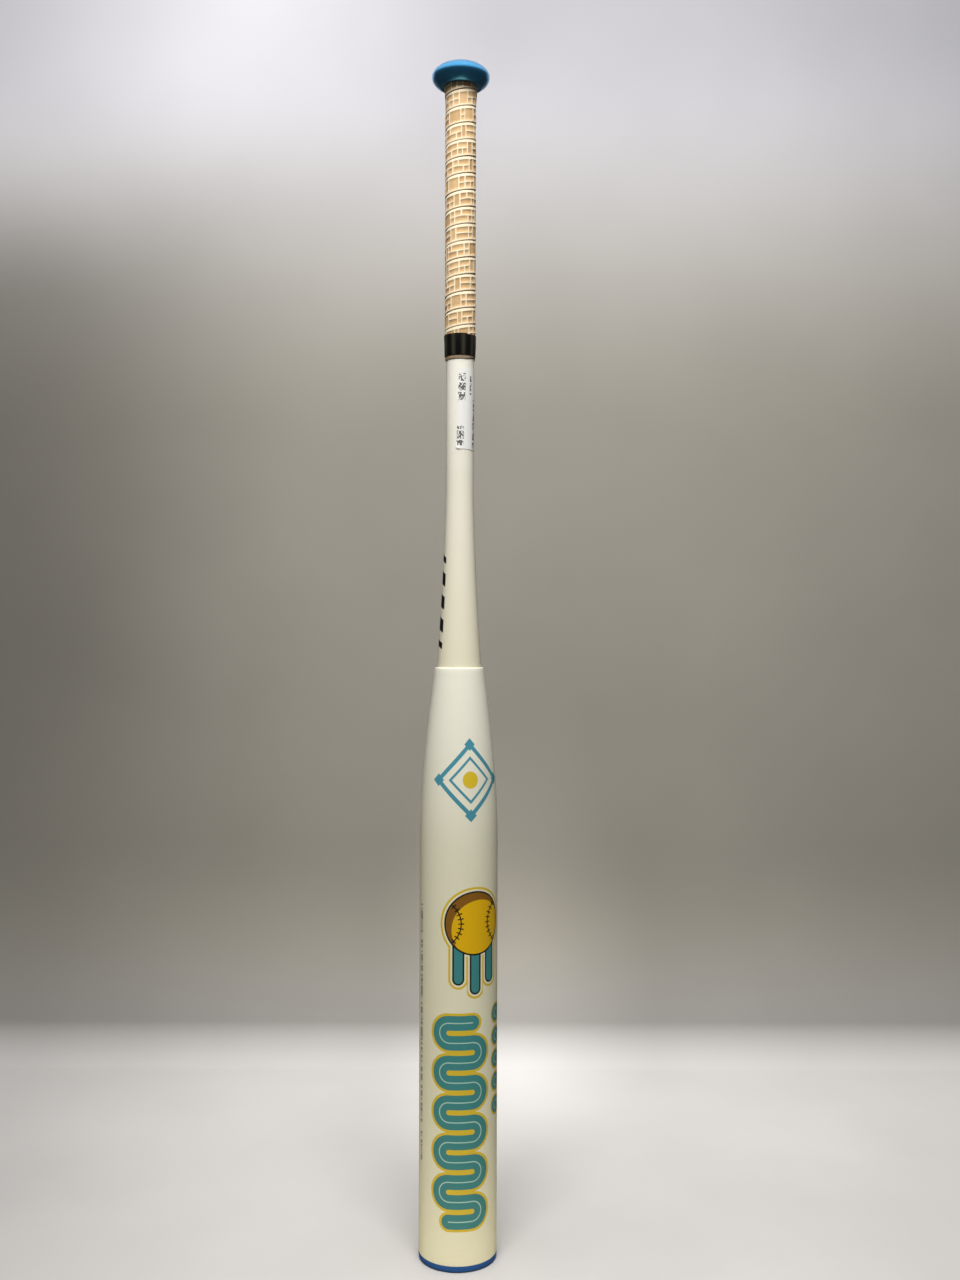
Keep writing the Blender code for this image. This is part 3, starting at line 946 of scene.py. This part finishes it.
def make_knob():
    """The knob: an oval in section with a flat underside, a collar round the disc, and a socket.

    The oval is radius * cos(a) out and half the height * sin(a) up from the widest ring. It goes
    from the collar's foot down to where it is as low as the underside.
    """
    seat = DISC_HIGH.x + 0.25 * MM
    seat_depth = DISC_LOW.z - 0.2 * MM
    collar, collar_round, seat_round = DISC_HIGH.x + 1.2 * MM, 0.3 * MM, 0.2 * MM
    underside = KNOB_LOW.z - 0.15 * MM
    socket, socket_end = HANDLE_RADIUS + 0.2 * MM, HANDLE_HIGH.z + 0.2 * MM
    high_angle = math.acos((collar + 0.2 * MM) / KNOB_RADIUS)
    low_angle = math.asin((underside - KNOB_WIDEST) / KNOB_HALF_HEIGHT)
    angle = np.linspace(high_angle, low_angle, 60)
    oval = [KNOB_RADIUS * np.cos(angle), KNOB_WIDEST + KNOB_HALF_HEIGHT * np.sin(angle)]
    return turned_solid(
        "knob_skin",
        [[0, seat_depth], [seat, seat_depth]],
        arc(seat + seat_round, BAT_LENGTH - seat_round, seat_round, 180, 90, 4),
        arc(collar - collar_round, BAT_LENGTH - collar_round, collar_round, 90, 0, 5),
        np.column_stack(oval),
        [[oval[0][-1] - 0.5 * MM, underside], [socket + 1.0 * MM, underside]],
        [[socket, underside], [socket, socket_end], [0, socket_end]],
    )


def make_knob_disc():
    """The blank disc in the knob's end, with a rounded rim."""
    radius, rim = DISC_HIGH.x, 0.3 * MM
    return turned_solid(
        "knob_medallion",
        [[0, BAT_LENGTH]],
        arc(radius - rim, BAT_LENGTH - rim, rim, 90, 0, 5),
        [[radius, DISC_LOW.z], [0, DISC_LOW.z]],
    )


def cell_lines(size):
    """Where the grid needs lines in a cell of this size: on each rib's top edge and foot, and midway."""
    ribs = np.array([RIB_HALF_WIDTH, RIB_FOOT_HALF_WIDTH])
    return np.concatenate([ribs, [size / 2], size - ribs[::-1]])


def parquet(run, rise):
    """Rib and block shade of the parquet at distance run along the strip and rise up it.

    The strip is cut into cells, two rows high, and each three columns take one of the layouts,
    which say with letters which cells make one block, the low row first. A cell has a rib on each
    side where its neighbour has another letter. The rib value is 1 on a rib's top and falls
    evenly to 0 at its foot.
    """
    layouts = ("aab ccb", "abb acc", "aab aac", "abb cbb", "abc ddc", "aab cdd")
    letters = np.array([[list(row) for row in layout.split()] for layout in layouts])
    number = np.arange(int(run.max() / CELL_LENGTH) + 3)
    order = np.random.default_rng(11).integers(0, len(layouts), len(number) // 3 + 1)
    module = number // 3
    block = letters[order[module], :, number % 3]
    code = np.char.add(block, np.char.zfill(module.astype(str), 4)[:, None])
    upright = np.ones((len(number) + 1, CELL_ROWS), bool)
    upright[1:-1] = code[1:] != code[:-1]
    level = np.ones((len(number), CELL_ROWS + 1), bool)
    level[:, 1:-1] = code[:, 1:] != code[:, :-1]
    column = np.clip((run / CELL_LENGTH).astype(int), 0, len(number) - 1)
    row = np.clip(((rise - CELLS_LOW) / CELL_RISE).astype(int), 0, CELL_ROWS - 1)
    along_cell = run - column * CELL_LENGTH
    up_cell = rise - CELLS_LOW - row * CELL_RISE
    sides = (
        (upright[column, row], along_cell),
        (upright[column + 1, row], CELL_LENGTH - along_cell),
        (level[column, row], up_cell),
        (level[column, row + 1], CELL_RISE - up_cell),
    )
    distance = np.minimum.reduce([np.where(ribbed, away, CELL_RISE) for ribbed, away in sides])
    rib = (RIB_FOOT_HALF_WIDTH - distance) / (RIB_FOOT_HALF_WIDTH - RIB_HALF_WIDTH)
    shades = np.random.default_rng(5).uniform(0, 1, (len(number), 4))
    letter_number = np.searchsorted(np.array(list("abcd")), block)
    return np.clip(rib, 0, 1), shades[module[column], letter_number[column, row]]


def with_back(values, at_back):
    """Each step's values across the strip, and the one value at the two corners of its back."""
    return np.concatenate([values, np.full((len(values), 2), float(at_back))], axis=1)


def tape_strip():
    """The strip's sections: a crowned, embossed outer side and a plain back, carried up a helix.

    The steps along it and the columns across it fall on the ribs' tops and feet. Sums of sines
    stretch the cells unevenly along the strip, and sway the line between their rows. At each step
    the strip's middle has risen by its share of the pitch, and its edges are cut off level with the
    grip's ends. Radius = handle + thickness - drop at the edges + ribs + doubled start, each turn a
    little uneven, and at most what the finishing tape leaves.
    """
    width = TAPE_PITCH - TAPE_SEAM
    bottom, top = TAPE_LOW.z, TAPE_HIGH.z
    start = bottom + TAPE_TIP - width / 2
    climb = top - bottom - 2 * TAPE_TIP + width
    turn_length = 2 * math.pi * HANDLE_RADIUS
    run_length = climb / TAPE_PITCH * turn_length
    columns = np.arange(int(run_length / CELL_LENGTH))[:, None] * CELL_LENGTH
    even = (columns + cell_lines(CELL_LENGTH)).ravel()
    even = np.concatenate([[0], even, [run_length]])[:, None]
    run = even + sum(reach * np.sin(even / span * 2 * math.pi) for reach, span in CELL_STRETCHES)
    cells = CELLS_LOW + np.arange(CELL_ROWS)[:, None] * CELL_RISE + cell_lines(CELL_RISE)
    cells_high = CELLS_LOW + CELL_ROWS * CELL_RISE
    low_edge = np.array([0, 0.15, 0.3, 0.5, 0.7, 0.9, 1.15]) * MM
    high_edge = width - (width - cells_high) * np.array([1, 0.8, 0.6, 0.42, 0.27, 0.14, 0.05, 0])
    share = np.concatenate([low_edge, cells.ravel(), high_edge])[None, :] / width
    middle = start + run / turn_length * TAPE_PITCH
    bearing = run / HANDLE_RADIUS + math.pi / 2
    low = np.maximum(middle - width / 2, bottom)
    high = np.minimum(middle + width / 2, top)
    height = low + (high - low) * share
    rise = height - (middle - width / 2)
    rib, shade = parquet(even + 0 * share, rise)
    sway = ROW_SWAY * np.sin(even / ROW_SWAY_LENGTH * 2 * math.pi)
    height = height + sway * np.sin(share * math.pi)
    from_low = np.clip(rise / TAPE_LOW_EASE, 0, 1)
    from_high = np.clip((width - rise) / TAPE_HIGH_BEVEL, 0, 1)
    drop = TAPE_LOW_DROP * (1 - from_low) ** 2 + TAPE_BEVEL_DROP * (1 - from_high) ** 1.5
    doubled = np.clip((height - top) / TAPE_DOUBLED_LENGTH + 1, 0, 1)
    swell = TAPE_DOUBLED_RISE * (1 - np.cos(doubled * math.pi)) / 2
    slack = TAPE_UNEVEN * (np.sin(1.31 * bearing) + np.sin(0.47 * bearing + 1) + np.sin(2.9 * bearing))
    drop = drop * (1 + 0.22 * np.sin(0.83 * bearing) + 0.12 * np.sin(bearing - 0.3))
    outer = HANDLE_RADIUS + TAPE_BACK_GAP + TAPE_THICKNESS + slack + swell - drop + RIB_RISE * rib
    outer = np.minimum(outer, bound_radius(height))
    radius = with_back(outer, HANDLE_RADIUS + TAPE_BACK_GAP)
    level = np.concatenate([height, height[:, -1:], height[:, :1]], axis=1)
    sections = placed(radius, bearing, level)
    # Brown grime with a painted crevice shade at both edges of each turn; its width varies round the grip
    grime_and_shade = TAPE_GRIME_AND_SHADE * (1 + 0.2 * np.sin(0.61 * bearing + 0.5) + 0.5 * np.sin(bearing - 0.3))
    seam = np.clip((grime_and_shade - rise) / (0.25 * MM), 0, 1) + np.clip(1 - (width - rise) / (0.4 * MM), 0, 1)
    # Marks the sliver below the band, which gets the painted shadow of the band
    tail = np.clip((BAND_LOW.z + 0.5 * MM - height) / (0.5 * MM), 0, 1)
    values = {"rib": rib, "block": shade, "seam": seam, "tail": tail}
    return sections, {name: with_back(value, name == "seam") for name, value in values.items()}


def make_grip():
    """The wound tape, which keeps its pattern's values as attributes of its points."""
    sections, values = tape_strip()
    piece = strip_along("parquet_winding", sections)
    for name, value in values.items():
        attribute = piece.data.attributes.new(name, "FLOAT", "POINT")
        attribute.data.foreach_set("value", value.ravel().astype(np.float32))
    return piece


def bound_radius(height):
    """The radius that the finishing tape draws the grip in to, which widens evenly with height."""
    share = (height - BAND_LOW.z) / (BAND_HIGH.z - BAND_LOW.z)
    return TAPE_BOUND_RADIUS + TAPE_BOUND_SPREAD * share


def make_band():
    """The finishing tape: a thin strip wrapped a turn and a bit, its end lying on its own first turn.

    Radius = what it binds + thickness for each turn + a slight ripple. It climbs a little as it
    goes round, so that its end makes a step in its upper edge.
    """
    thickness, turns, end_bearing = 0.16 * MM, 1.32, math.radians(27)
    climb, ripple_height, clearance = 0.7 * MM, 0.04 * MM, 0.08 * MM
    share = np.linspace(0, 1, 200)[:, None]
    bearing = end_bearing - (1 - share) * turns * 2 * math.pi
    up = np.linspace(0, 1, 13)[None, :]
    width = BAND_HIGH.z - BAND_LOW.z - climb
    height = BAND_LOW.z + climb * share + width * up
    ripple = ripple_height * np.sin((height / TAPE_PITCH) * 2 * math.pi - bearing)
    back = bound_radius(height) + clearance + thickness * 1.08 * share * turns + ripple
    front = back + thickness * (1 - 0.4 * (2 * up - 1) ** 8)
    return wrapped_sheet("finishing_tape", front, back, bearing, height)


def make_label():
    """The sticker: a sheet with round corners, rolled on to the handle a little askew.

    Its columns run up evenly between ends that are drawn in at the corners. The sheet is turned by
    LABEL_TILT, and its lower left corner lifts by the square of the nearness to it.
    """
    thickness, back_gap, lift_height, lift_reach = 0.12 * MM, 0.10 * MM, 0.7 * MM, 6 * MM
    across = np.linspace(0, 1, 60)[:, None]
    up = np.linspace(0, 1, 40)[None, :]
    turn = LABEL_RIGHT - LABEL_LEFT
    width = turn * HANDLE_RADIUS
    side = np.minimum(across, 1 - across) * width
    inset = LABEL_CORNER - np.sqrt(np.maximum(LABEL_CORNER**2 - np.maximum(LABEL_CORNER - side, 0) ** 2, 0))
    low, high = LABEL_LOW.z + inset, LABEL_HIGH.z - inset
    height = low + (high - low) * up
    bearing = LABEL_LEFT + turn * across + (height - LABEL_MIDDLE) * LABEL_TILT / HANDLE_RADIUS
    lift = np.clip(1 - (across * width + (height - LABEL_LOW.z)) / lift_reach, 0, 1) ** 2
    height = height - (across - 0.3) * width * LABEL_TILT
    surface = HANDLE_RADIUS + back_gap + lift_height * lift
    return wrapped_sheet("size_sticker", surface + thickness, surface, bearing, height)


def publish(piece, material, node):
    """Gives a piece its material, and puts it in its CAD node's place on the bat."""
    piece.data.materials.append(material)
    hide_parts(node)
    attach(piece, "root")


def dress_hidden_nodes():
    """Materials for the pieces inside the bat, which keep their CAD shapes."""
    foam = matt_filling("plug_foam", FOAM_GREY, 900.0, 0.0003)
    rubber = matt_filling("sleeve_rubber", SLEEVE_GREY, 500.0, 0.0001)
    for node, material in (("tail_plug", foam), ("knob_plug", foam), ("joint_sleeve", rubber)):
        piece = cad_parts[node]
        piece.data.materials.clear()
        piece.data.materials.append(material)


def make_bat():
    barrel_paint = painted("barrel_paint", CREAM, barrel_print)
    handle_paint = painted("handle_paint", IVORY, handle_print)
    publish(make_barrel(), barrel_paint, "barrel_shell")
    publish(make_handle(), handle_paint, "handle_tube")
    publish(make_end_cap(), moulded("cap_blue", CAP_BLUE, 0.42, 0.1), "end_cap")
    publish(make_knob(), moulded("knob_blue", AZURE, 0.29, 0.7, pearl=0.95), "knob")
    disc_film = moulded("disc_film", DISC_GREY, 0.35, 0.2)
    publish(make_knob_disc(), disc_film, "knob_disc")
    publish(make_grip(), grip_material(), "grip_tape")
    publish(make_band(), vinyl_material(), "finishing_band")
    publish(make_label(), label_material(), "size_label")
    dress_hidden_nodes()


# Stage, lamps and camera


def add_sheet(name, points, material):
    """A stage surface from a grid of points, which throws no shadow itself."""
    rows, columns = points.shape[:2]
    faces = grid_faces(rows, columns, False).reshape(rows - 1, columns, 4)[:, :-1].reshape(-1, 4)
    mesh = new_mesh(name, points, faces.tolist())
    mesh.shade_smooth()
    mesh.materials.append(material)
    sheet = in_scene(name, mesh)
    sheet.visible_shadow = False


def make_stage():
    """A wide level floor, and a sheet of paper that turns up from it behind the bat.

    The sheet's section is a quarter circle from the floor, turn * (sin a, 1 - cos a), and then goes
    straight up.
    """
    paper = paper_material()
    side = np.array([-FLOOR_REACH, FLOOR_REACH])
    x, y = np.meshgrid(side, side)
    add_sheet("studio_floor", np.stack([x, y, 0 * x], axis=2), paper)
    angle = np.linspace(0, math.pi / 2, 24)
    turn = WALL_TURN * np.column_stack([np.sin(angle), 1 - np.cos(angle)])
    section = np.concatenate([turn, [[WALL_TURN, WALL_HEIGHT]]])
    across = np.array([-WALL_HALF_WIDTH, WALL_HALF_WIDTH])[None, :]
    depth = WALL_BEHIND - WALL_TURN + section[:, :1] + 0 * across
    height = section[:, 1:] + 0.2 * MM + 0 * across
    add_sheet("paper_wall", np.stack([across + 0 * depth, depth, height], axis=2), paper)


def glow(x, z, glow_x, glow_z, reach_x, reach_z, gain):
    """An oval of painted light, which goes from gain in its middle to 0 at its reach."""
    return length((x - glow_x) / reach_x, (z - glow_z) / reach_z).fade(1.0, 0.0, gain)


def paper_light_and_tone(x, y, z):
    """How pale the paper is, from 0 to 1, with painted light and shade: dimmer half way up the wall
    and towards both sides and the front.

    A painted glow lies low on the wall beside the bat, and another high on its left. Noise makes the
    tone uneven.
    """
    wall = z.fade(*FOOT_FADE) + z.fade(*HEAD_FADE) + z.fade(*TOP_FADE) + PAPER_TONE
    low = z.eased(0.98, 0.80)
    depth, more_depth = LEFT_DEPTHS
    left = x.eased(*LEFT_FADE) * (low * depth + z.eased(0.20, 0.45) * low * more_depth) + 1
    right = x.fade(*RIGHT_FADE) + 1
    beside = glow(x, z, *LOW_GLOW) * y.eased(0.10, 0.40) + 1
    above = glow(x, z, *HIGH_GLOW) + 1
    front = y.fade(*FRONT_FADE) + 1
    uneven = noise(object_place(x.tree), 7.0) * 0.14 + 0.93
    return wall * left * right * beside * above * front * uneven


def rays(tree):
    """1 on the camera's own rays, and 1 on those that reflections and clear things send out."""
    path = add_node(tree, "ShaderNodeLightPath")
    kinds = ("Camera", "Glossy", "Transmission")
    camera, glossy, clear = (Term(path.outputs[f"Is {kind} Ray"]) for kind in kinds)
    return camera, glossy.most(clear)


def paper_material():
    """Matt grey-white paper with painted light and shade, cooler above and on the floor. Its back is clear.

    The camera and reflections of its upper part see it so. It throws back the light of a dimmer
    wall, a warm patch of floor round the bat and a dark floor further off, and reflections of its
    lower part are dark.
    """
    material, tree, shader = new_material("sweep_paper")
    x, y, z = split_up(object_place(tree))
    cool = z.eased(0.68, 1.08).most(z.eased(0.16, 0.0) * 0.5)
    white = mix(cool, WARM_PAPER, COOL_PAPER)
    # The paper's white times its painted light and shade
    tint = mix(paper_light_and_tone(x, y, z), BLACK, white)
    camera, reflected = rays(tree)
    seen = (reflected * z.eased(0.70, 0.95)).most(camera)
    patch = length(x + 0.06, y).eased(FLOOR_PATCH * 1.3, FLOOR_PATCH * 0.3)
    floor = mix(patch, FAR_FLOOR, NEAR_FLOOR)
    near = mix(z.over(0.2), floor, THROWN_WALL)
    thrown = mix(reflected, near, MIRRORED_FLOOR)
    feed(shader.inputs["Base Color"], mix(seen, thrown, tint))
    shader.inputs["Roughness"].default_value = 0.9
    clear = add_node(tree, "ShaderNodeBsdfTransparent").outputs[0]
    behind = add_node(tree, "ShaderNodeNewGeometry").outputs["Backfacing"]
    sides = add_node(tree, "ShaderNodeMixShader", {0: behind, 1: shader.outputs[0], 2: clear})
    feed(tree.nodes["Material Output"].inputs["Surface"], sides.outputs[0])
    return material


def add_lamp(name, place, target, size, power):
    """A soft lamp that faces its target, and stays out of reflections."""
    light = bpy.data.lights.new(name, "AREA")
    light.shape = "RECTANGLE"
    light.size, light.size_y = size
    light.energy = power
    lamp = in_scene(name, light)
    lamp.visible_glossy = False
    lamp.location = place
    aside, ahead, up = np.array(target) - np.array(place)
    turn = math.atan2(aside, -ahead) + math.pi
    lamp.rotation_euler = (math.atan2(math.hypot(aside, ahead), -up), 0, turn)


def light_the_stage():
    for name, values in LAMPS.items():
        add_lamp(name, *values)


def make_room():
    """The room round the stage: dim up to a little above eye level, and bright overhead.

    The camera sees it paler than reflections do, and as light on the bat it is weaker.
    """
    world = bpy.data.worlds.new("room")
    world.use_nodes = True
    tree = world.node_tree
    rise = split_up(add_node(tree, "ShaderNodeTexCoord").outputs["Generated"])[2]
    camera, reflected = rays(tree)
    dim = mix(camera, LOW_ROOM, SEEN_ROOM)
    background = tree.nodes["Background"]
    feed(background.inputs["Color"], mix(rise.eased(0.22, 0.80), dim, HIGH_ROOM))
    feed(background.inputs["Strength"], reflected.most(camera).choose(1.0, 0.26))
    bpy.context.scene.world = world


def place_camera():
    """A level camera at the photograph's height and distance, with its lens set from the focal length."""
    data = bpy.data.cameras.new("camera")
    data.sensor_width = 36
    data.lens = FOCAL_PX / PICTURE_HEIGHT_PX * data.sensor_width
    camera = in_scene("camera", data)
    camera.location = (CAMERA_ASIDE, -CAMERA_DISTANCE, EYE_HEIGHT)
    camera.rotation_euler = (math.pi / 2, CAMERA_ROLL, 0)
    bpy.context.scene.camera = camera


bpy.context.scene.view_settings.view_transform = "Standard"
make_bat()
make_stage()
light_the_stage()
make_room()
place_camera()
